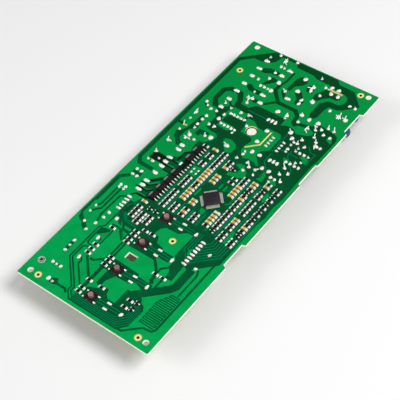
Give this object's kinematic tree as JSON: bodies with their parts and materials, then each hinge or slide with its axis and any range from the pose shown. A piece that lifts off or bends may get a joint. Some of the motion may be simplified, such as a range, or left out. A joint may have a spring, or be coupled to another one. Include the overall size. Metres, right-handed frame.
{
  "type": "washing machine control module",
  "caption": "Washing machine control board: long green laminate soldered with chips, switches and a turned microcontroller, tall mains parts below.",
  "frame": {"origin": "centre of the four fixing holes, on the soldered face of the laminate", "axes": "+Z out of the soldered face, +Y along the board towards its mains end, +X across it"},
  "size_m": [0.0973, 0.2277, 0.0207],
  "materials": {
    "laminate": "lacquered laminate",
    "lacquered_copper": "green lacquer over copper",
    "solder": "soldered",
    "bare_copper": "oxidised",
    "resistor_body": "satin",
    "capacitor_body": "satin",
    "ceramic_white": "satin",
    "black_moulding": "matt",
    "chip_moulding": "matt",
    "tinned_lead": "tinned",
    "switch_housing": "matt",
    "switch_stem": "satin",
    "relay_cover": "moulded",
    "white_nylon": "moulded",
    "black_nylon": "moulded",
    "ferrite": "matt",
    "yellow_tape": "wound tape",
    "enamelled_copper": "enamelled",
    "capacitor_case": "moulded",
    "capacitor_sleeve": "sleeved",
    "aluminium": "plain",
    "varistor_coating": "dipped",
    "disc_coating": "dipped",
    "resistor_coating": "lacquered"
  },
  "bodies": {
    "board": {"axial_diodes": "black_moulding", "axial_leads": "tinned_lead", "axial_resistors": "resistor_coating", "board_laminate": "laminate", "chip_capacitors": "capacitor_body", "chip_resistors": "resistor_body", "chip_terminals": "solder", "choke_base": "black_nylon", "choke_core": "ferrite", "choke_windings": "enamelled_copper", "copper_tracks": "lacquered_copper", "disc_leads": "tinned_lead", "earth_eyelet": "solder", "electrolytic_capacitors": "capacitor_sleeve", "fiducial_dots": "bare_copper", "film_capacitors": "capacitor_case", "heat_sinks": "aluminium", "load_connector_pins": "tinned_lead", "load_connectors": "white_nylon", "mains_connector": "white_nylon", "mains_connector_pins": "tinned_lead", "microcontroller": "chip_moulding", "microcontroller_leads": "tinned_lead", "pillar_washer": "black_nylon", "power_leads": "tinned_lead", "power_semiconductors": "black_moulding", "relay_door": "relay_cover", "relay_drum_forward": "relay_cover", "relay_drum_reverse": "relay_cover", "relay_heater": "relay_cover", "relay_spin": "relay_cover", "relay_supply": "relay_cover", "resonator": "ceramic_white", "safety_capacitor": "disc_coating", "signal_connector_pins": "tinned_lead", "signal_connectors": "white_nylon", "small_transistor_leads": "tinned_lead", "small_transistors": "black_moulding", "solder_joints": "solder", "supply_chip": "black_moulding", "supply_chip_leads": "tinned_lead", "support_pillar": "white_nylon", "switch_case_1": "switch_housing", "switch_case_2": "switch_housing", "switch_case_3": "switch_housing", "switch_case_4": "switch_housing", "switch_leads": "tinned_lead", "tinned_pads": "solder", "transformer_bobbin": "black_nylon", "transformer_core": "ferrite", "transformer_winding": "yellow_tape", "triac_leads": "tinned_lead", "triacs": "black_moulding", "varistor": "varistor_coating", "wire_links": "tinned_lead"},
    "push_button_1": {"switch_stem_1": "switch_stem"},
    "push_button_2": {"switch_stem_2": "switch_stem"},
    "push_button_3": {"switch_stem_3": "switch_stem"},
    "push_button_4": {"switch_stem_4": "switch_stem"}
  },
  "joints": [
    {"name": "button_press_1", "type": "slide", "parent": "board", "child": "push_button_1", "axis": [0, 0, -1], "range_m": [0, 0.00025], "stiffness_N_per_m": 200, "springref_m": -0.0005},
    {"name": "button_press_2", "type": "slide", "parent": "board", "child": "push_button_2", "axis": [0, 0, -1], "range_m": [0, 0.00025], "stiffness_N_per_m": 200, "springref_m": -0.0005},
    {"name": "button_press_3", "type": "slide", "parent": "board", "child": "push_button_3", "axis": [0, 0, -1], "range_m": [0, 0.00025], "stiffness_N_per_m": 200, "springref_m": -0.0005},
    {"name": "button_press_4", "type": "slide", "parent": "board", "child": "push_button_4", "axis": [0, 0, -1], "range_m": [0, 0.00025], "stiffness_N_per_m": 200, "springref_m": -0.0005}
  ]
}
